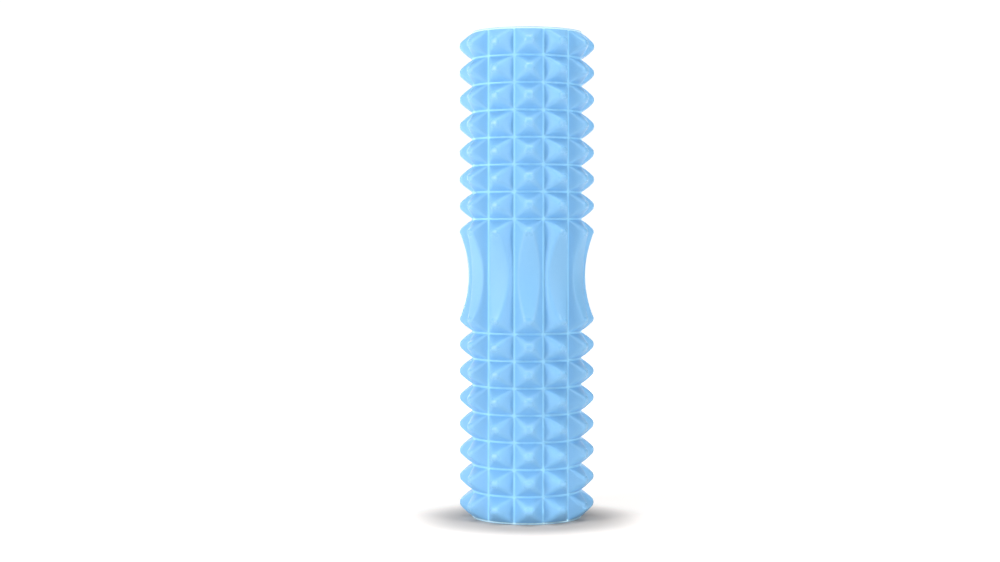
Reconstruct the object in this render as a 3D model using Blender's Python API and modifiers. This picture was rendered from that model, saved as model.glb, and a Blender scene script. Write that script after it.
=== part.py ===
"""Hollow massage foam roller: a studded foam sleeve wrapped and bonded on a rigid core tube.

The roller stands on its lower end.  The origin is the centre of that end, +Z runs up the roller's axis,
and one column of studs faces -Y.  Everything is in metres.

The sleeve is made the way the real one is: a flat mat is moulded with its studs and its plain waist ribs,
bent round the tube into a ring, and closed by one butt seam that lies in a groove at the back.
"""

import math

import bmesh
import bpy

# Driving dimensions of the roller
LENGTH = 0.450
TIP_RADIUS = 0.0625
GROOVE_RADIUS = 0.0510
BORE_RADIUS = 0.0420

# Pattern of the mat: columns run along the roller, rows run round it
COLUMNS = 12
ROWS_PER_END = 7
WAIST_LENGTH = 0.1042
GROOVE_WIDTH = 0.0014
END_LIP = 0.0014
COLUMN_PITCH = 2 * math.pi * GROOVE_RADIUS / COLUMNS
ROW_PITCH = (LENGTH - WAIST_LENGTH - 2 * END_LIP + GROOVE_WIDTH) / (2 * ROWS_PER_END)

# Shape of one stud: four equal flanks and a softly rounded flat tip
STUD_HEIGHT = TIP_RADIUS - GROOVE_RADIUS
FLANK_ANGLE = math.radians(52)
TIP_FILLET = 0.0046
TIP_FILLET_STEPS = 2

# Waist: the ribs' crests dip in one long arc, which reaches this far each way from mid-length
WAIST_CREST_RADIUS = 0.0543
WAIST_REACH = 0.0398
WAIST_STEPS = 12

# Core tube, and the adhesive film between it and the sleeve
TUBE_WALL = 0.0030
TUBE_RECESS = 0.0010
TUBE_CHAMFER = 0.0006
FILM_THICKNESS = 0.0003
FILM_RECESS = 0.0030
FIT_GAP = 0.0003
TUBE_RADIUS = BORE_RADIUS + TUBE_WALL
FILM_INNER_RADIUS = TUBE_RADIUS + FIT_GAP
SLEEVE_BORE_RADIUS = FILM_INNER_RADIUS + FILM_THICKNESS + FIT_GAP

# Butt seam of the wrapped mat, in the groove between two columns at the back
SEAM_WIDTH = 0.0003
SEAM_COLUMN = 5.5

# Faceting
BEND_STEPS = 2
ROUND_STEPS = 72
CUTTER_MARGIN = 0.005
WELD_DISTANCE = 0.00001


def clear_scene():
    """Removes every object that the file starts with."""
    for obj in list(bpy.data.objects):
        bpy.data.objects.remove(obj, do_unlink=True)


def new_collection(name):
    collection = bpy.data.collections.new(name)
    bpy.context.scene.collection.children.link(collection)
    return collection


def new_material(name, color, roughness, metallic=0.0):
    material = bpy.data.materials.new(name)
    material.use_nodes = True
    shader = material.node_tree.nodes["Principled BSDF"]
    shader.inputs["Base Color"].default_value = (*color, 1.0)
    shader.inputs["Roughness"].default_value = roughness
    shader.inputs["Metallic"].default_value = metallic
    return material


def add_object(name, mesh, collection, material=None):
    obj = bpy.data.objects.new(name, mesh)
    collection.objects.link(obj)
    if material:
        mesh.materials.append(material)
    return obj


def object_from_bmesh(name, bm, collection, material=None):
    mesh = bpy.data.meshes.new(name)
    bm.to_mesh(mesh)
    bm.free()
    return add_object(name, mesh, collection, material)


def add_cutter(name, bm, collection, target):
    """Turns bm into a hidden cutter and takes it away from target."""
    cutter = object_from_bmesh(name, bm, collection)
    cutter.hide_render = True
    cutter.display_type = "WIRE"
    boolean = target.modifiers.new(name, "BOOLEAN")
    boolean.operation = "DIFFERENCE"
    boolean.object = cutter
    return cutter


def stud_profile():
    """(distance from the stud's foot, height) up one flank and round the tip's fillet, foot first."""
    corner_run = STUD_HEIGHT / math.tan(FLANK_ANGLE)
    centre_run = corner_run + TIP_FILLET * math.tan(FLANK_ANGLE / 2)
    centre_height = STUD_HEIGHT - TIP_FILLET
    points = [(0.0, 0.0)]
    for step in range(TIP_FILLET_STEPS + 1):
        angle = FLANK_ANGLE * (1 - step / TIP_FILLET_STEPS)
        run = centre_run - TIP_FILLET * math.sin(angle)
        height = centre_height + TIP_FILLET * math.cos(angle)
        points.append((run, height))
    return points


def waist_crest_height(distance):
    """Height of the waist ribs' crest above the groove, at this distance from the roller's middle."""
    dip = TIP_RADIUS - WAIST_CREST_RADIUS
    radius = (WAIST_REACH**2 + dip**2) / (2 * dip)
    rise = radius - math.sqrt(radius**2 - min(abs(distance), WAIST_REACH) ** 2)
    return WAIST_CREST_RADIUS - GROOVE_RADIUS + rise


def row_lines():
    """Heights of the mat's cross lines, measured from its middle."""
    half = LENGTH / 2
    first = -half + END_LIP - GROOVE_WIDTH / 2
    lower = [first + ROW_PITCH * row for row in range(ROWS_PER_END + 1)]
    spacing = 2 * WAIST_REACH / WAIST_STEPS
    waist = [-WAIST_REACH + spacing * step for step in range(WAIST_STEPS + 1)]
    upper = [-height for height in reversed(lower)]
    return lower + waist + upper


def flat_mat():
    """The flat mat before moulding: a grid of cells, x round the roller and y along it."""
    lines = row_lines()
    across = COLUMNS * BEND_STEPS
    along = len(lines) - 1
    bm = bmesh.new()
    bmesh.ops.create_grid(bm, x_segments=across, y_segments=along, size=1.0)
    for vert in bm.verts:
        column = round((vert.co.x + 1) / 2 * across)
        row = round((vert.co.y + 1) / 2 * along)
        vert.co.x = (column / BEND_STEPS - (COLUMNS - SEAM_COLUMN)) * COLUMN_PITCH
        vert.co.y = lines[row]
    return bm


def cells(bm):
    """The mat's faces grouped by cell: one group for each stud, and one for each waist rib."""
    groups = {}
    first_column_edge = -(COLUMNS - SEAM_COLUMN) * COLUMN_PITCH
    for face in bm.faces:
        centre = face.calc_center_median()
        column = int((centre.x - first_column_edge) / COLUMN_PITCH)
        if abs(centre.y) < WAIST_LENGTH / 2:
            row = 0
        else:
            steps = int((abs(centre.y) - WAIST_LENGTH / 2) / ROW_PITCH) + 1
            row = math.copysign(steps, centre.y)
        groups.setdefault((column, row), []).append(face)
    return groups


def inset(bm, faces, run, rise):
    bmesh.ops.inset_region(
        bm,
        faces=faces,
        thickness=run,
        depth=rise,
        use_boundary=True,
        use_even_offset=True,
    )


def raise_cell(bm, faces):
    """Leaves half a groove round the cell, then raises its flanks and its rounded tip."""
    inset(bm, faces, GROOVE_WIDTH / 2, 0.0)
    profile = stud_profile()
    for (run, height), (next_run, next_height) in zip(profile, profile[1:]):
        inset(bm, faces, next_run - run, next_height - height)


def dip_waist_rib(column, verts):
    """Lowers a raised rib to the waist's arc.  Its flanks keep their slope, so the crest widens as it dips."""
    centre_x = (column + 0.5 - (COLUMNS - SEAM_COLUMN)) * COLUMN_PITCH
    foot = COLUMN_PITCH / 2 - GROOVE_WIDTH / 2
    for vert in verts:
        crest = waist_crest_height(vert.co.y)
        if vert.co.z <= crest:
            continue
        offset = vert.co.x - centre_x
        if abs(offset) > WELD_DISTANCE:
            width = foot - crest / math.tan(FLANK_ANGLE)
            vert.co.x = centre_x + math.copysign(width, offset)
        vert.co.z = crest


def wrap(bm):
    """Bends the flat mat into a ring round Z.  Only its base stretches: studs keep their moulded widths."""
    for vert in bm.verts:
        column = round(vert.co.x / COLUMN_PITCH)
        offset = vert.co.x - column * COLUMN_PITCH
        radius = GROOVE_RADIUS + vert.co.z
        angle = column * COLUMN_PITCH / GROOVE_RADIUS + offset / radius
        height = vert.co.y + LENGTH / 2
        vert.co = (radius * math.sin(angle), -radius * math.cos(angle), height)


def close_ends(bm):
    """Moves the outermost ring of points to the roller's end planes and closes both ends."""
    rims = [edge for edge in bm.edges if edge.is_boundary]
    for vert in {vert for edge in rims for vert in edge.verts}:
        vert.co.z = 0.0 if vert.co.z < LENGTH / 2 else LENGTH
    bmesh.ops.holes_fill(bm, edges=rims, sides=0)


def cylinder(radius, length, centre_z):
    bm = bmesh.new()
    bmesh.ops.create_cone(
        bm,
        cap_ends=True,
        segments=ROUND_STEPS,
        radius1=radius,
        radius2=radius,
        depth=length,
    )
    bmesh.ops.translate(bm, verts=bm.verts, vec=(0, 0, centre_z))
    return bm


def seam_blade():
    """A thin upright box through the sleeve's wall, standing in the groove where the mat's edges meet."""
    bm = bmesh.new()
    bmesh.ops.create_cube(bm, size=1.0)
    depth = GROOVE_RADIUS - SLEEVE_BORE_RADIUS + 2 * CUTTER_MARGIN
    size = (SEAM_WIDTH, depth, LENGTH + 2 * CUTTER_MARGIN)
    bmesh.ops.scale(bm, verts=bm.verts, vec=size)
    middle = (GROOVE_RADIUS + SLEEVE_BORE_RADIUS) / 2
    bmesh.ops.translate(bm, verts=bm.verts, vec=(0, -middle, LENGTH / 2))
    return bm


def build_foam_sleeve(collection, cutters, material):
    bm = flat_mat()
    for (column, row), faces in cells(bm).items():
        raise_cell(bm, faces)
        if row == 0:
            dip_waist_rib(column, {vert for face in faces for vert in face.verts})
    wrap(bm)
    bmesh.ops.remove_doubles(bm, verts=bm.verts, dist=WELD_DISTANCE)
    close_ends(bm)
    bmesh.ops.recalc_face_normals(bm, faces=bm.faces)
    sleeve = object_from_bmesh("foam_sleeve", bm, collection, material)
    bore = cylinder(SLEEVE_BORE_RADIUS, LENGTH + 2 * CUTTER_MARGIN, LENGTH / 2)
    add_cutter("sleeve_bore_cutter", bore, cutters, sleeve)
    blade = add_cutter("seam_cutter", seam_blade(), cutters, sleeve)
    blade.rotation_euler.z = SEAM_COLUMN * COLUMN_PITCH / GROOVE_RADIUS
    return sleeve


def turned_object(name, profile, collection, material):
    """A closed (radius, height) profile turned a full circle round Z."""
    mesh = bpy.data.meshes.new(name)
    points = [(radius, 0.0, height) for radius, height in profile]
    edges = [(i, (i + 1) % len(points)) for i in range(len(points))]
    mesh.from_pydata(points, edges, [])
    obj = add_object(name, mesh, collection, material)
    screw = obj.modifiers.new("turn", "SCREW")
    screw.steps = screw.render_steps = ROUND_STEPS
    screw.use_merge_vertices = True
    screw.merge_threshold = WELD_DISTANCE
    return obj


def build_core_tube(collection, material):
    """Extruded tube with both edges of each end broken, set back a little from the sleeve's ends."""
    top = LENGTH - TUBE_RECESS
    low = TUBE_RECESS
    profile = [
        (TUBE_RADIUS - TUBE_CHAMFER, top),
        (TUBE_RADIUS, top - TUBE_CHAMFER),
        (TUBE_RADIUS, low + TUBE_CHAMFER),
        (TUBE_RADIUS - TUBE_CHAMFER, low),
        (BORE_RADIUS + TUBE_CHAMFER, low),
        (BORE_RADIUS, low + TUBE_CHAMFER),
        (BORE_RADIUS, top - TUBE_CHAMFER),
        (BORE_RADIUS + TUBE_CHAMFER, top),
    ]
    return turned_object("core_tube", profile, collection, material)


def build_adhesive_film(collection, material):
    outer = FILM_INNER_RADIUS + FILM_THICKNESS
    profile = [
        (outer, LENGTH - FILM_RECESS),
        (outer, FILM_RECESS),
        (FILM_INNER_RADIUS, FILM_RECESS),
        (FILM_INNER_RADIUS, LENGTH - FILM_RECESS),
    ]
    return turned_object("adhesive_film", profile, collection, material)


def main():
    clear_scene()
    roller = new_collection("foam_roller")
    cutters = new_collection("cutters")
    foam = new_material("foam_blue", (0.24, 0.58, 0.93), 0.45)
    plastic = new_material("tube_plastic", (0.80, 0.82, 0.84), 0.35)
    glue = new_material("dried_adhesive", (0.72, 0.62, 0.38), 0.30)
    build_foam_sleeve(roller, cutters, foam)
    build_core_tube(roller, plastic)
    build_adhesive_film(roller, glue)


main()
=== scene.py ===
"""Foam roller standing on end in a white studio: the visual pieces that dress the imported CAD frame.

Everything is in metres.  The roller's axis is Z, and its front column of studs faces -Y.
"""

import math

import bmesh
import bpy
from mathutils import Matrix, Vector, noise

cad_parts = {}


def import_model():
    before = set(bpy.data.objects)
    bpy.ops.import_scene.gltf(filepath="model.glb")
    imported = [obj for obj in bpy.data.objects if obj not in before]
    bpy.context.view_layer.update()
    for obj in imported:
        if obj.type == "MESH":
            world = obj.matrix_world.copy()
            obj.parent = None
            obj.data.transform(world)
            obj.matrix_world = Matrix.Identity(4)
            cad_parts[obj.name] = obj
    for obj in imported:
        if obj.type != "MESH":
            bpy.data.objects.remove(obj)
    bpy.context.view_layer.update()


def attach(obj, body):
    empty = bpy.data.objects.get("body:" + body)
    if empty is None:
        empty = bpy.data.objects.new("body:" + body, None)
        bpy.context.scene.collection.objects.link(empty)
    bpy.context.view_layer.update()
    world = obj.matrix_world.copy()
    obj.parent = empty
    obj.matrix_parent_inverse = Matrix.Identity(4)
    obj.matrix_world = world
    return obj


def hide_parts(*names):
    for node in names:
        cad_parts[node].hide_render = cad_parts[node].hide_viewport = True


# Sizes shared with the CAD model
LENGTH = 0.450
TIP_RADIUS = 0.0625
GROOVE_RADIUS = 0.0510
TUBE_RADIUS = 0.0450
BORE_RADIUS = 0.0420
COLUMNS = 12
ROWS_PER_END = 7
WAIST_LENGTH = 0.1042
GROOVE_WIDTH = 0.0014
END_LIP = 0.0014
COLUMN_PITCH = 2 * math.pi * GROOVE_RADIUS / COLUMNS
ROW_PITCH = (LENGTH - WAIST_LENGTH - 2 * END_LIP + GROOVE_WIDTH) / (2 * ROWS_PER_END)
STUD_HEIGHT = TIP_RADIUS - GROOVE_RADIUS
WAIST_CREST_RADIUS = 0.0543
SEAM_COLUMN = 5.5
TUBE_RECESS = 0.0010

# Sizes a little off the CAD model's: a flank that bulges from foot to head, the reach of the waist's arc,
# and a bore half a millimetre smaller, because no fitting gaps are left round the glue
FOOT_ANGLE = math.radians(58)
HEAD_ANGLE = math.radians(46)
WAIST_REACH = 0.0400
SLEEVE_BORE_RADIUS = 0.0454

# Softness of the moulded foam: fillets in profile, corners in plan, and the most that they may take of a
# crest's height and of a side's half length
FOOT_FILLET = 0.0005
TIP_FILLET = 0.0050
FOOT_CORNER = 0.0006
TIP_CORNER = 0.0062
CORNER_POWER = 0.85
FILLET_SHARE = 0.75
CORNER_SHARE = 0.8
SHARP_ANGLE = math.radians(35)

# Unevenness of the studs: how far tips lean and swell, and how fast that changes along the mat
TIP_LEAN = 0.0004
TIP_SWELL = 0.00012
TIP_CHANGE = 55.0
TIP_SEED = 5

# Hidden pieces
TUBE_ROUNDING = 0.0006
TUBE_SEGMENTS = 180
FILM_RECESS = 0.0030
FILM_GAP = 0.00008
FILM_ROUNDING = 0.0001
FILM_WAVE = 0.0012
FILM_SEGMENTS = 240

# Colours of the foam: its skin, its cloudier and paler patches, the paler colour also painted on the tips
# as a highlight, the painted highlights that lighten the shaded grooves and the lips of both ends, and
# its cut faces
FOAM_COLOR = (0.205, 0.485, 0.80)
FOAM_COLOR_DEEP = (0.190, 0.462, 0.78)
FOAM_COLOR_PALE_AND_TIP_HIGHLIGHT = (0.235, 0.52, 0.83)
FOAM_COLOR_GROOVE_HIGHLIGHT = (0.30, 0.65, 0.93)
FOAM_COLOR_LIP_HIGHLIGHT = (0.56, 0.82, 0.95)
FOAM_COLOR_CUT = (0.27, 0.55, 0.84)

# Colours of the tube, where it is clear, cloudy and sawn, and of the glue, as a whole, thin and thick
TUBE_COLOR = (0.80, 0.82, 0.84)
TUBE_COLOR_CLOUDY = (0.75, 0.775, 0.80)
TUBE_COLOR_SAWN = (0.86, 0.87, 0.88)
GLUE_COLOR = (0.72, 0.62, 0.38)
GLUE_COLOR_THIN = (0.76, 0.67, 0.44)
GLUE_COLOR_THICK = (0.62, 0.50, 0.27)

# Mesh density of one cell of the mat
SIDE_STEPS = 4
CORNER_STEPS = 4
RIB_STEPS = 40
FOOT_STEPS = 2
FLANK_STEPS = 3
FILLET_STEPS = 6
BORDER_REACH = 0.0016

# How the mat's edges turn in: (distance kept from the edge plane, depth below the groove)
RIM_TURN = ((0.00018, 0.00007), (0.00005, 0.0002), (0.0, 0.0005), (0.0, 0.0053), (0.0003, 0.0056))
SEAM_TURN = (
    (0.0003, 0.00004),
    (0.00012, 0.00014),
    (0.00008, 0.0005),
    (0.00008, 0.0053),
    (0.00008, 0.0056),
)

# The floor: its colour, and two ramps of its glow, each from and to these distances, between these
# strengths.  The near one leaves a painted shadow round the foot, where the floor does not glow, which is
# shorter along Y and lies a little to the front.
FLOOR_RADIUS = 6.0
FLOOR_ALBEDO = (0.55, 0.50, 0.46)
GLOW_NEAR_PAINTED_SHADOW = (0.062, 0.125, 0.0, 0.57)
GLOW_FAR = (0.25, 1.50, 0.0, 0.38)
SHADOW_STRETCH = (1.0, 1.126, 0.0)
SHADOW_SHIFT = (0.0, 0.0158, 0.0)

# Light from all round: the way it is strongest, its strength from there and from the opposite way
WORLD_AXIS = (0.0, 1.0, 0.0)
WORLD_STRONG = 0.32
WORLD_WEAK = 0.0
BACKDROP_STRENGTH = 1.05

# The camera: its lens in millimetres, its place, and the angles it is turned to the right and tipped down
CAMERA_LENS = 62.05
CAMERA_BACK = 1.605
CAMERA_ASIDE = 0.0250
CAMERA_HEIGHT = 0.2664
CAMERA_HEADING = math.radians(1.1)
CAMERA_TIP = math.radians(1.67)

# Studio lights: name, azimuth from the front, height, distance, (width, height), power, and for a light
# with a grid also the height it is aimed at and the angle its beam spreads over
SOFTBOXES = (
    ("left_rim", -105, 0.30, 1.6, (0.3, 1.2), 6.2),
    ("left_key", -55, 0.30, 1.6, (0.4, 1.2), 12.9),
    ("left_high", -50, 1.25, 1.35, (0.5, 0.5), 7.8),
    ("right_key", 50, 0.30, 1.6, (0.3, 1.2), 7.0),
    ("right_high", 50, 1.25, 1.35, (0.5, 0.5), 7.8),
    ("overhead", 0, 1.96, 0.35, (1.2, 0.5), 14.5),
    ("low_fill", -5, 0.06, 0.70, (0.5, 0.08), 0.05, 0.00, 20),
    ("back_left", -152, 0.60, 1.6, (0.5, 1.0), 6.0),
    ("back_right", 160, 0.60, 1.6, (0.5, 1.0), 4.0),
)


# ---------------------------------------------------------------- moulded mat


def waist_crest(distance):
    """Height of a waist rib's crest above the groove, at this distance from the roller's middle."""
    dip = TIP_RADIUS - WAIST_CREST_RADIUS
    radius = (WAIST_REACH**2 + dip**2) / (2 * dip)
    rise = radius - math.sqrt(radius**2 - min(abs(distance), WAIST_REACH) ** 2)
    return WAIST_CREST_RADIUS - GROOVE_RADIUS + rise


def flank_profile(crest):
    """(run, height) pairs from the foot of a flank to the flat of its crest.

    A small fillet leads into the flank, which bulges a little, and a large one leads into the crest.
    """
    points = []
    for step in range(FOOT_STEPS + 1):
        angle = FOOT_ANGLE * step / FOOT_STEPS
        run = FOOT_FILLET * (math.sin(angle) - math.tan(FOOT_ANGLE / 2))
        points.append((run, FOOT_FILLET * (1 - math.cos(angle))))
    fillet = min(TIP_FILLET, FILLET_SHARE * crest)
    bend = HEAD_ANGLE - FOOT_ANGLE
    angles = [FOOT_ANGLE + bend * (step + 0.5) / FLANK_STEPS for step in range(FLANK_STEPS)]
    run, height = points[-1]
    climb = crest - fillet * (1 - math.cos(HEAD_ANGLE)) - height
    length = climb / sum(math.sin(angle) for angle in angles)
    for angle in angles:
        run += length * math.cos(angle)
        height += length * math.sin(angle)
        points.append((run, height))
    centre_run = run + fillet * math.sin(HEAD_ANGLE)
    for step in range(1, FILLET_STEPS + 1):
        angle = HEAD_ANGLE * (1 - step / FILLET_STEPS)
        run = centre_run - fillet * math.sin(angle)
        points.append((run, crest - fillet * (1 - math.cos(angle))))
    return points


def outline(half_x, half_y, corner, steps_y):
    """A counter-clockwise loop round a rounded rectangle, as (x, y, kind).

    The kinds are mid, the middle of a corner; side_y and side_x, on the sides along y and x; and turn_y
    and turn_x, in the halves of the corners next to them.  The loop starts at the lower right mid.
    """
    corners = ((1, -1), (1, 1), (-1, 1), (-1, -1))
    flat_x = half_x - corner
    flat_y = half_y - corner
    loop = []
    for side in range(4):
        name = "y" if side % 2 == 0 else "x"
        first = corners[side]
        last = corners[(side + 1) % 4]
        facing = side * math.pi / 2
        turns = CORNER_STEPS // 2
        for step in range(-turns, 0):
            angle = facing + step * math.pi / 2 / CORNER_STEPS
            x = first[0] * flat_x + corner * math.cos(angle)
            y = first[1] * flat_y + corner * math.sin(angle)
            loop.append((x, y, "mid" if step == -turns else "turn_" + name))
        steps = steps_y if name == "y" else SIDE_STEPS
        for step in range(steps + 1):
            t = step / steps
            x = (first[0] * (1 - t) + last[0] * t) * flat_x + corner * math.cos(facing)
            y = (first[1] * (1 - t) + last[1] * t) * flat_y + corner * math.sin(facing)
            loop.append((x, y, "side_" + name))
        for step in range(1, turns):
            angle = facing + step * math.pi / 2 / CORNER_STEPS
            x = last[0] * flat_x + corner * math.cos(angle)
            y = last[1] * flat_y + corner * math.sin(angle)
            loop.append((x, y, "turn_" + name))
    return loop


def border(half_x, half_y, steps_y):
    """The cell's own rectangle, sampled like outline() and the same on both sides of every groove."""
    loop = []
    for x, y, kind in outline(half_x, half_y, BORDER_REACH, steps_y):
        if kind == "mid" or kind.endswith("_y"):
            x = math.copysign(half_x, x)
        if kind == "mid" or kind.endswith("_x"):
            y = math.copysign(half_y, y)
        loop.append((x, y, 0.0))
    return loop


def cell_loops(half_x, half_y, steps_y, is_rib):
    """Nested loops of (x, y, height) from the groove's centre line up to the edge of the crest."""
    loops = [border(half_x, half_y, steps_y)]
    foot_x = half_x - GROOVE_WIDTH / 2
    foot_y = half_y - GROOVE_WIDTH / 2
    for level, (run, height) in enumerate(flank_profile(STUD_HEIGHT)):
        side_x = foot_x - run
        side_y = foot_y - run
        corner = FOOT_CORNER + (TIP_CORNER - FOOT_CORNER) * (height / STUD_HEIGHT) ** CORNER_POWER
        corner = min(corner, CORNER_SHARE * side_x, CORNER_SHARE * side_y)
        loop = []
        for x, y, kind in outline(side_x, side_y, corner, steps_y):
            z = height
            if is_rib and kind == "side_y":
                rib_run, z = flank_profile(waist_crest(y))[level]
                x = math.copysign(foot_x - rib_run, x)
            loop.append((x, y, z))
        loops.append(loop)
    return loops


def crest_point(sides, u, v, i, j, is_rib):
    """A point inside the crest: a Coons patch in plan, lifted to the crest's own height."""
    left, right, low, high = sides
    plan = []
    for axis in (0, 1):
        across = left[j][axis] * (1 - u) + right[j][axis] * u
        along = low[i][axis] * (1 - v) + high[i][axis] * v
        foot = low[0][axis] * (1 - u) + low[-1][axis] * u
        head = high[0][axis] * (1 - u) + high[-1][axis] * u
        plan.append(across + along - foot * (1 - v) - head * v)
    return plan[0], plan[1], waist_crest(plan[1]) if is_rib else STUD_HEIGHT


class Mat:
    """The flat mat: points (x, y, height), faces, and the points that neighbouring cells share."""

    def __init__(self):
        self.points = []
        self.faces = []
        self.shared = {}

    def add(self, x, y, z):
        self.points.append((x, y, z))
        return len(self.points) - 1

    def add_shared(self, x, y):
        """A point at groove height.

        Its key is in micrometres and shifted off the halves, which could round either way.
        """
        key = (round(x * 1e6 + 0.13), round(y * 1e6 + 0.13))
        if key not in self.shared:
            self.shared[key] = self.add(x, y, 0.0)
        return self.shared[key]

    def strip(self, lower, upper, closed=False):
        """Faces between two rows of points."""
        count = len(lower)
        for i in range(count if closed else count - 1):
            k = (i + 1) % count
            self.faces.append((lower[i], lower[k], upper[k], upper[i]))

    def cell(self, centre_x, centre_y, half_x, half_y, is_rib):
        """One stud or one waist rib, with half of the grooves round it."""
        side_steps = RIB_STEPS if is_rib else SIDE_STEPS
        loops = cell_loops(half_x, half_y, side_steps, is_rib)
        rings = [[self.add_shared(centre_x + x, centre_y + y) for x, y, z in loops[0]]]
        for loop in loops[1:]:
            rings.append([self.add(centre_x + x, centre_y + y, z) for x, y, z in loop])
        for outer, inner in zip(rings, rings[1:]):
            self.strip(outer, inner, closed=True)
        self.crest(centre_x, centre_y, loops[-1], rings[-1], side_steps + CORNER_STEPS, is_rib)

    def crest(self, centre_x, centre_y, loop, ring, steps_y, is_rib):
        """Fills the innermost loop with a grid."""
        steps_x = SIDE_STEPS + CORNER_STEPS
        count = len(ring)
        right = list(range(steps_y + 1))
        high = [steps_y + steps_x - i for i in range(steps_x + 1)]
        left = [2 * steps_y + steps_x - j for j in range(steps_y + 1)]
        low = [(2 * steps_y + steps_x + i) % count for i in range(steps_x + 1)]
        sides = [[loop[k] for k in side] for side in (left, right, low, high)]
        rows = []
        for j in range(steps_y + 1):
            row = []
            for i in range(steps_x + 1):
                if i == 0:
                    row.append(ring[left[j]])
                elif i == steps_x:
                    row.append(ring[right[j]])
                elif j == 0:
                    row.append(ring[low[i]])
                elif j == steps_y:
                    row.append(ring[high[i]])
                else:
                    x, y, z = crest_point(sides, i / steps_x, j / steps_y, i, j, is_rib)
                    row.append(self.add(centre_x + x, centre_y + y, z))
            rows.append(row)
        for lower, upper in zip(rows, rows[1:]):
            self.strip(lower, upper)

    def edge_rows(self):
        """The mat's outermost points: lower and upper rim by x, first and last seam edge by y."""
        ids = list(self.shared.values())
        xs = [self.points[i][0] for i in ids]
        ys = [self.points[i][1] for i in ids]
        near = 1e-6
        low = [i for i in ids if self.points[i][1] < min(ys) + near]
        high = [i for i in ids if self.points[i][1] > max(ys) - near]
        first = [i for i in ids if self.points[i][0] < min(xs) + near]
        last = [i for i in ids if self.points[i][0] > max(xs) - near]
        by_x = [sorted(row, key=lambda i: self.points[i][0]) for row in (low, high)]
        by_y = [sorted(row, key=lambda i: self.points[i][1]) for row in (first, last)]
        return by_x + by_y

    def close(self):
        """Turns the mat's edges in and adds its underside, so that it becomes a closed body."""
        low, high, first, last = self.edge_rows()
        edge_x = (self.points[first[0]][0], self.points[last[0]][0])
        turned = {}
        for i in set(low + high + first + last):
            x, y = self.points[i][:2]
            column = [i]
            for level, (rim, seam) in enumerate(zip(RIM_TURN, SEAM_TURN)):
                new_x, new_y, depth = x, y, math.inf
                if i in low or i in high:
                    new_y = math.copysign(LENGTH / 2 - rim[0], y)
                    depth = rim[1]
                if i in first or i in last:
                    new_x = edge_x[0] + seam[0] if i in first else edge_x[1] - seam[0]
                    depth = min(depth, seam[1])
                if level == 0:
                    self.points[i] = (new_x, new_y, -depth)
                else:
                    column.append(self.add(new_x, new_y, -depth))
            turned[i] = column
        for row in (low, high, first, last):
            for level in range(len(RIM_TURN) - 1):
                self.strip([turned[i][level] for i in row], [turned[i][level + 1] for i in row])
        low, high, first, last = [[turned[i][-1] for i in row] for row in (low, high, first, last)]
        self.faces.append(first + [high[1], low[1]])
        self.faces.append(last + [high[-2], low[-2]])
        self.strip(low[1:-1], high[1:-1])


def wrapped(x, y, z):
    """A point of the flat mat bent round the tube.  Only the base stretches: studs keep their widths.

    No two studs of real foam are quite alike, so their tips lean and swell by fractions of a millimetre.
    """
    column = round(x / COLUMN_PITCH)
    angle = x / GROOVE_RADIUS
    if z > 0:
        uneven = noise.noise_vector(Vector((x, y, 0.0)) * TIP_CHANGE) * (z / STUD_HEIGHT)
        offset = x - column * COLUMN_PITCH + TIP_LEAN * uneven.x
        angle = column * COLUMN_PITCH / GROOVE_RADIUS + offset / (GROOVE_RADIUS + z)
        y += TIP_LEAN * uneven.y
        z += TIP_SWELL * uneven.z
    radius = GROOVE_RADIUS + z
    return Vector((radius * math.sin(angle), -radius * math.cos(angle), y + LENGTH / 2))


def build_mat():
    mat = Mat()
    first_row = -LENGTH / 2 + END_LIP - GROOVE_WIDTH / 2 + ROW_PITCH / 2
    for column in range(COLUMNS):
        centre_x = (column + 0.5 - (COLUMNS - SEAM_COLUMN)) * COLUMN_PITCH
        for row in range(ROWS_PER_END):
            centre_y = first_row + row * ROW_PITCH
            mat.cell(centre_x, centre_y, COLUMN_PITCH / 2, ROW_PITCH / 2, False)
            mat.cell(centre_x, -centre_y, COLUMN_PITCH / 2, ROW_PITCH / 2, False)
        mat.cell(centre_x, 0.0, COLUMN_PITCH / 2, WAIST_LENGTH / 2, True)
    mat.close()
    return mat


def add_mesh(name, points, faces, material):
    mesh = bpy.data.meshes.new(name)
    mesh.from_pydata(points, [], faces)
    mesh.materials.append(material)
    bm = bmesh.new()
    bm.from_mesh(mesh)
    bmesh.ops.recalc_face_normals(bm, faces=bm.faces)
    bm.to_mesh(mesh)
    bm.free()
    mesh.shade_smooth()
    obj = bpy.data.objects.new(name, mesh)
    bpy.context.scene.collection.objects.link(obj)
    return obj


def build_sleeve(material):
    noise.seed_set(TIP_SEED)
    mat = build_mat()
    points = [wrapped(*point) for point in mat.points]
    sleeve = add_mesh("studded_foam_sleeve", points, mat.faces, material)
    sleeve.data.set_sharp_from_angle(angle=SHARP_ANGLE)
    return sleeve


# ---------------------------------------------------------------- tube and adhesive


def rounded_profile(inner, outer, low, high, rounding):
    """(radius, z) points round a tube's wall, from its lower inner corner, with rounded corners."""
    corners = ((inner, low, 180), (outer, low, 270), (outer, high, 0), (inner, high, 90))
    steps = 5
    points = []
    for radius, z, start in corners:
        centre_r = radius + (rounding if radius == inner else -rounding)
        centre_z = z + (rounding if z == low else -rounding)
        for step in range(steps + 1):
            angle = math.radians(start + 90 * step / steps)
            r = centre_r + rounding * math.cos(angle)
            points.append((r, centre_z + rounding * math.sin(angle)))
    return points


def turned_body(name, profile, segments, material, shape=None):
    """A closed body of revolution.  shape(angle, radius, z) may move each of its points."""
    points = []
    faces = []
    count = len(profile)
    for segment in range(segments):
        angle = 2 * math.pi * segment / segments
        for radius, z in profile:
            if shape:
                radius, z = shape(angle, radius, z)
            points.append((radius * math.sin(angle), -radius * math.cos(angle), z))
        here = segment * count
        after = (segment + 1) % segments * count
        for i in range(count):
            k = (i + 1) % count
            faces.append((here + i, after + i, after + k, here + k))
    return add_mesh(name, points, faces, material)


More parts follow.
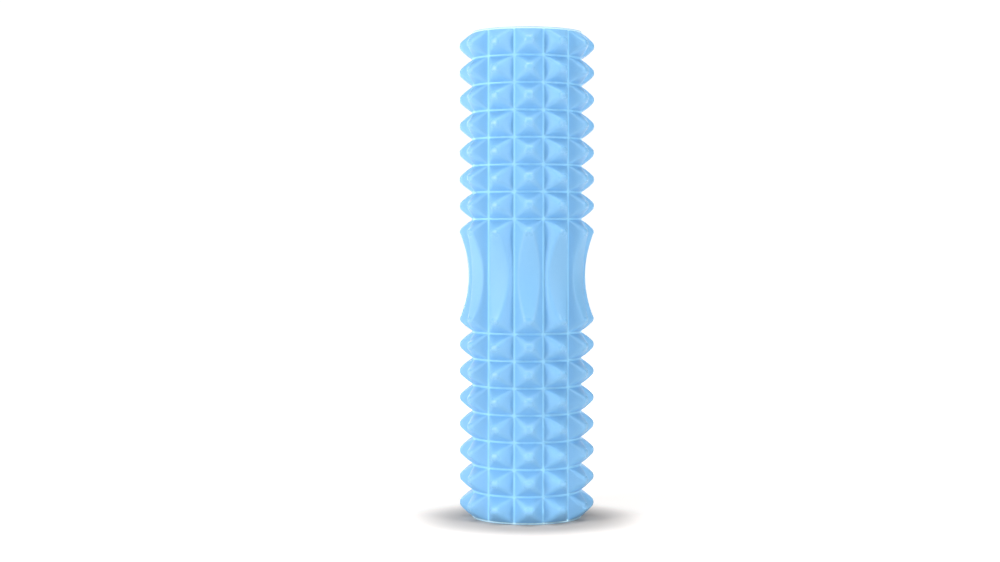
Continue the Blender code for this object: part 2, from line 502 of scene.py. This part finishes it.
def build_tube(material):
    low, high = TUBE_RECESS, LENGTH - TUBE_RECESS
    profile = rounded_profile(BORE_RADIUS, TUBE_RADIUS, low, high, TUBE_ROUNDING)
    return turned_body("extruded_tube", profile, TUBE_SEGMENTS, material)


def build_film(material):
    """The adhesive between tube and foam, brushed on by hand, so its ends are wavy."""

    def wavy(angle, radius, z):
        side = 1 if z > LENGTH / 2 else -1
        here = Vector((2.5 * math.sin(angle), 2.5 * math.cos(angle), 7.0 * side))
        fine = Vector((9.0 * math.sin(angle), 9.0 * math.cos(angle), 3.0 * side))
        return radius, z + FILM_WAVE * (noise.noise(here) + 0.4 * noise.noise(fine))

    low, high = FILM_RECESS, LENGTH - FILM_RECESS
    inner, outer = TUBE_RADIUS + FILM_GAP, SLEEVE_BORE_RADIUS - FILM_GAP
    profile = rounded_profile(inner, outer, low, high, FILM_ROUNDING)
    return turned_body("brushed_adhesive", profile, FILM_SEGMENTS, material, wavy)


# ---------------------------------------------------------------- materials


class Look:
    """Short ways to build one material's node tree."""

    def __init__(self, name, color, roughness):
        self.material = bpy.data.materials.new(name)
        self.material.use_nodes = True
        self.tree = self.material.node_tree
        self.shader = self.tree.nodes["Principled BSDF"]
        self.shader.inputs["Base Color"].default_value = (*color, 1.0)
        self.shader.inputs["Roughness"].default_value = roughness
        self.place = self.node("ShaderNodeTexCoord").outputs["Object"]

    def node(self, kind, settings=(), inputs=()):
        node = self.tree.nodes.new(kind)
        for key, value in dict(settings).items():
            setattr(node, key, value)
        for key, value in dict(inputs).items():
            self.set(node.inputs[key], value)
        return node

    def set(self, socket, value):
        if isinstance(value, bpy.types.NodeSocket):
            self.tree.links.new(value, socket)
        else:
            socket.default_value = value

    def math(self, operation, a, b=0.0):
        return self.node("ShaderNodeMath", {"operation": operation}, {0: a, 1: b}).outputs[0]

    def ramp(self, value, low, high, to_low=0.0, to_high=1.0):
        """Maps low..high to to_low..to_high with soft ends, and holds the ends' values outside."""
        settings = {"interpolation_type": "SMOOTHSTEP"}
        inputs = {"Value": value, "From Min": low, "From Max": high, "To Min": to_low, "To Max": to_high}
        return self.node("ShaderNodeMapRange", settings, inputs).outputs["Result"]

    def stretched(self, scale):
        inputs = {"Vector": self.place, "Scale": scale}
        return self.node("ShaderNodeMapping", {}, inputs).outputs["Vector"]

    def noise(self, scale, detail=2.0, vector=None):
        inputs = {"Vector": vector or self.place, "Scale": scale, "Detail": detail}
        return self.node("ShaderNodeTexNoise", {}, inputs).outputs["Fac"]

    def cells(self, scale):
        inputs = {"Vector": self.place, "Scale": scale}
        return self.node("ShaderNodeTexVoronoi", {}, inputs).outputs["Distance"]

    def radius(self, stretch=(1, 1, 0), shift=(0, 0, 0)):
        """Distance from the roller's axis, or from a shifted axis with X and Y stretched."""
        inputs = {0: self.place, 1: stretch, 2: shift}
        flat = self.node("ShaderNodeVectorMath", {"operation": "MULTIPLY_ADD"}, inputs)
        length = self.node("ShaderNodeVectorMath", {"operation": "LENGTH"}, {0: flat.outputs[0]})
        return length.outputs["Value"]

    def from_middle(self):
        """Distance from the roller's mid height."""
        height = self.node("ShaderNodeSeparateXYZ", {}, {0: self.place}).outputs["Z"]
        return self.math("ABSOLUTE", self.math("SUBTRACT", height, LENGTH / 2))

    def mix(self, factor, a, b):
        """Blends two colours.  On the Mix node, sockets 6 and 7 take colours and output 2 gives one."""
        node = self.node("ShaderNodeMix", {"data_type": "RGBA"}, {"Factor": factor})
        for socket, color in ((node.inputs[6], a), (node.inputs[7], b)):
            self.set(socket, color if isinstance(color, bpy.types.NodeSocket) else (*color, 1.0))
        return node.outputs[2]

    def bump(self, height, distance, below=None):
        inputs = {"Height": height, "Distance": distance}
        if below:
            inputs["Normal"] = below
        return self.node("ShaderNodeBump", {}, inputs).outputs["Normal"]


def foam_material():
    """Closed-cell EVA: a moulded skin with a fine pebble, rubbed smoother at the tips, and cut ends.
    Tips, grooves and end lips are painted paler as highlights.
    """
    look = Look("moulded_eva", FOAM_COLOR, 0.45)
    radius = look.radius()
    tips = look.ramp(radius, TIP_RADIUS - 0.0035, TIP_RADIUS - 0.0003)
    ends = look.ramp(look.from_middle(), LENGTH / 2 - 0.0006, LENGTH / 2 - 0.0002)
    bore = look.ramp(radius, SLEEVE_BORE_RADIUS + 0.0008, SLEEVE_BORE_RADIUS + 0.0003)
    cut = look.math("MAXIMUM", ends, bore)

    # Mask of the grooves, which are painted paler: a painted highlight over their shade
    groove = look.ramp(radius, GROOVE_RADIUS + 0.0007, GROOVE_RADIUS + 0.0001)
    rims = look.ramp(look.from_middle(), LENGTH / 2 - 0.0022, LENGTH / 2 - 0.0014)
    lips = look.math("MULTIPLY", groove, rims)

    cloudy = look.ramp(look.noise(28.0, 3.0), 0.3, 0.7)
    speckle = look.ramp(look.noise(1500.0, 2.0), 0.3, 0.7)
    color = look.mix(look.math("MULTIPLY", cloudy, 0.6), FOAM_COLOR, FOAM_COLOR_DEEP)
    color = look.mix(look.math("MULTIPLY", speckle, 0.35), color, FOAM_COLOR_PALE_AND_TIP_HIGHLIGHT)
    # Tips painted paler: a painted highlight
    color = look.mix(look.math("MULTIPLY", tips, 0.5), color, FOAM_COLOR_PALE_AND_TIP_HIGHLIGHT)
    # Grooves painted paler: a painted highlight that lifts their shade
    color = look.mix(look.math("MULTIPLY", groove, 0.9), color, FOAM_COLOR_GROOVE_HIGHLIGHT)
    # Lips of both ends painted paler still: a painted highlight
    color = look.mix(lips, color, FOAM_COLOR_LIP_HIGHLIGHT)
    color = look.mix(look.math("MULTIPLY", cut, 0.85), color, FOAM_COLOR_CUT)
    look.set(look.shader.inputs["Base Color"], color)

    rough = look.ramp(look.noise(420.0, 3.0), 0.25, 0.75, 0.40, 0.52)
    rough = look.math("SUBTRACT", rough, look.math("MULTIPLY", tips, 0.22))
    rough = look.math("ADD", rough, look.math("MULTIPLY", cut, 0.25))
    look.set(look.shader.inputs["Roughness"], rough)

    skin = look.math("ADD", look.noise(2300.0, 3.0), look.math("MULTIPLY", look.noise(520.0, 2.0), 1.4))
    skin = look.math("MULTIPLY", skin, look.ramp(tips, 0.0, 1.0, 1.0, 0.1))
    pores = look.math("MULTIPLY", look.ramp(look.cells(1900.0), 0.0, 0.55), cut)
    normal = look.bump(skin, 0.00006)
    normal = look.bump(pores, 0.00018, normal)
    look.set(look.shader.inputs["Normal"], normal)
    return look.material


def tube_material():
    """Extruded ABS: satin, with faint die lines along it and saw marks on its cut ends."""
    look = Look("extruded_abs", TUBE_COLOR, 0.35)
    lines = look.noise(1.0, 3.0, look.stretched((900.0, 900.0, 4.0)))
    end = LENGTH / 2 - TUBE_RECESS
    ends = look.ramp(look.from_middle(), end - 0.0007, end - 0.0004)
    saw = look.noise(1.0, 2.0, look.stretched((160.0, 1900.0, 300.0)))
    cloudy = look.noise(22.0, 3.0)
    color = look.mix(look.ramp(cloudy, 0.3, 0.7), TUBE_COLOR, TUBE_COLOR_CLOUDY)
    color = look.mix(look.math("MULTIPLY", ends, 0.5), color, TUBE_COLOR_SAWN)
    look.set(look.shader.inputs["Base Color"], color)
    rough = look.ramp(lines, 0.3, 0.7, 0.30, 0.42)
    look.set(look.shader.inputs["Roughness"], look.math("ADD", rough, look.math("MULTIPLY", ends, 0.2)))
    normal = look.bump(lines, 0.00003)
    normal = look.bump(look.math("MULTIPLY", saw, ends), 0.00006, normal)
    look.set(look.shader.inputs["Normal"], normal)
    return look.material


def glue_material():
    """A thin coat of amber contact adhesive, brushed on and dried."""
    look = Look("dried_contact_adhesive", GLUE_COLOR, 0.30)
    strokes = look.noise(1.0, 3.0, look.stretched((260.0, 260.0, 40.0)))
    color = look.mix(look.ramp(strokes, 0.3, 0.7), GLUE_COLOR_THIN, GLUE_COLOR_THICK)
    look.set(look.shader.inputs["Base Color"], color)
    look.set(look.shader.inputs["Roughness"], look.ramp(look.noise(700.0), 0.3, 0.7, 0.22, 0.45))
    look.set(look.shader.inputs["Normal"], look.bump(strokes, 0.00006))
    return look.material


# ---------------------------------------------------------------- studio


def build_floor():
    """A white floor, lit by the lamps and glowing from inside except round the roller's foot, where the
    missing glow is a painted shadow added to the cast one.
    """
    look = Look("studio_floor", FLOOR_ALBEDO, 0.8)
    look.shader.inputs["Emission Color"].default_value = (1, 1, 1, 1)
    # No glow round the foot: a painted shadow
    near = look.ramp(look.radius(SHADOW_STRETCH, SHADOW_SHIFT), *GLOW_NEAR_PAINTED_SHADOW)
    glow = look.math("ADD", near, look.ramp(look.radius(), *GLOW_FAR))
    look.set(look.shader.inputs["Emission Strength"], glow)
    bm = bmesh.new()
    bmesh.ops.create_circle(bm, cap_ends=True, segments=96, radius=FLOOR_RADIUS)
    mesh = bpy.data.meshes.new("studio_floor")
    bm.to_mesh(mesh)
    bm.free()
    mesh.materials.append(look.material)
    floor = bpy.data.objects.new("studio_floor", mesh)
    bpy.context.scene.collection.objects.link(floor)


def softbox(name, azimuth, height, distance, size, power, aim=LENGTH / 2, spread=180):
    """An area light aimed at the roller's axis.  Azimuth 0 is at the front, positive to the right."""
    light = bpy.data.lights.new(name, "AREA")
    light.shape = "RECTANGLE"
    light.size, light.size_y = size
    light.energy = power
    light.spread = math.radians(spread)
    angle = math.radians(azimuth)
    position = Vector((distance * math.sin(angle), -distance * math.cos(angle), height))
    target = Vector((0, 0, aim))
    obj = bpy.data.objects.new(name, light)
    obj.location = position
    obj.rotation_euler = (target - position).to_track_quat("-Z", "Y").to_euler()
    bpy.context.scene.collection.objects.link(obj)


def build_camera():
    """A little above the waist and to the left of the roller, looking slightly down."""
    camera_data = bpy.data.cameras.new("camera")
    camera_data.lens = CAMERA_LENS
    camera = bpy.data.objects.new("camera", camera_data)
    sine, cosine = math.sin(CAMERA_HEADING), math.cos(CAMERA_HEADING)
    x = -CAMERA_BACK * sine - CAMERA_ASIDE * cosine
    y = -CAMERA_BACK * cosine + CAMERA_ASIDE * sine
    camera.location = (x, y, CAMERA_HEIGHT)
    camera.rotation_euler = (math.pi / 2 - CAMERA_TIP, 0, -CAMERA_HEADING)
    bpy.context.scene.collection.objects.link(camera)
    bpy.context.scene.camera = camera


def build_world():
    """Soft light, strongest from behind, before a backdrop that is bright enough to show as white."""
    world = bpy.data.worlds.new("studio")
    world.use_nodes = True
    nodes = world.node_tree.nodes
    links = world.node_tree.links
    light = nodes["Background"]
    light.inputs["Color"].default_value = (1, 1, 1, 1)
    place = nodes.new("ShaderNodeTexCoord")
    toward = nodes.new("ShaderNodeVectorMath")
    toward.operation = "DOT_PRODUCT"
    toward.inputs[1].default_value = WORLD_AXIS
    blend = nodes.new("ShaderNodeMapRange")
    blend.inputs["From Min"].default_value = -1
    blend.inputs["From Max"].default_value = 1
    blend.inputs["To Min"].default_value = WORLD_WEAK
    blend.inputs["To Max"].default_value = WORLD_STRONG
    links.new(place.outputs["Generated"], toward.inputs[0])
    links.new(toward.outputs["Value"], blend.inputs["Value"])
    links.new(blend.outputs["Result"], light.inputs["Strength"])
    backdrop = nodes.new("ShaderNodeBackground")
    backdrop.inputs["Color"].default_value = (1, 1, 1, 1)
    backdrop.inputs["Strength"].default_value = BACKDROP_STRENGTH
    path = nodes.new("ShaderNodeLightPath")
    mix = nodes.new("ShaderNodeMixShader")
    links.new(path.outputs["Is Camera Ray"], mix.inputs[0])
    links.new(light.outputs[0], mix.inputs[1])
    links.new(backdrop.outputs[0], mix.inputs[2])
    links.new(mix.outputs[0], nodes["World Output"].inputs["Surface"])
    bpy.context.scene.world = world


def main():
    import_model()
    sleeve = build_sleeve(foam_material())
    tube = build_tube(tube_material())
    film = build_film(glue_material())
    dressed = (
        (sleeve, "foam_sleeve", "foam_blue"),
        (tube, "core_tube", "tube_plastic"),
        (film, "adhesive_film", "dried_adhesive"),
    )
    for piece, node, slot in dressed:
        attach(piece, "root")
        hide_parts(node)
    build_floor()
    build_world()
    for light in SOFTBOXES:
        softbox(*light)
    build_camera()
    bpy.context.scene.view_settings.view_transform = "Standard"


main()
